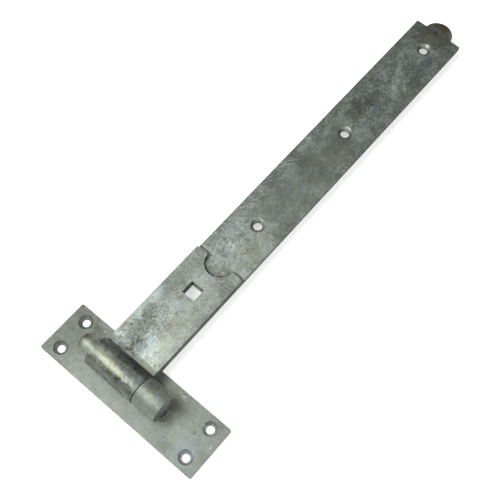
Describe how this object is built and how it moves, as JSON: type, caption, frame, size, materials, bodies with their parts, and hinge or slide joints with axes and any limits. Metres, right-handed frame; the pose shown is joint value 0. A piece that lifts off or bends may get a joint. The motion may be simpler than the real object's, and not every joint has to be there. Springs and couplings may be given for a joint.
{
  "type": "hook and band hinge",
  "caption": "Hook and band gate hinge: a long flat strip, rolled to an eye and folded back on itself, that turns on a pin held to a screwed plate by a wrapped strap.",
  "frame": {"origin": "middle of the plate's back face", "axes": "+X from the pin along the band to its tip, +Y along the pin to its free end, +Z out of the plate's back through its front"},
  "size_m": [0.4846, 0.166, 0.0377],
  "materials": {
    "band_zinc": "hot-dip galvanised, mottled",
    "plate_zinc": "hot-dip galvanised, even",
    "strap_zinc": "hot-dip galvanised",
    "pin_zinc": "hot-dip galvanised",
    "weld_zinc": "galvanised weld bead"
  },
  "bodies": {
    "hook": {"hook_plate": "plate_zinc", "hook_strap": "strap_zinc", "hook_pin": "pin_zinc", "tail_weld": "weld_zinc"},
    "band": {"band": "band_zinc"}
  },
  "joints": [
    {"name": "band_swing", "type": "hinge", "parent": "hook", "child": "band", "pos_m": [0, 0.0144, 0.0245], "axis": [0, -1, 0], "range_deg": [-1.7, 180]}
  ]
}
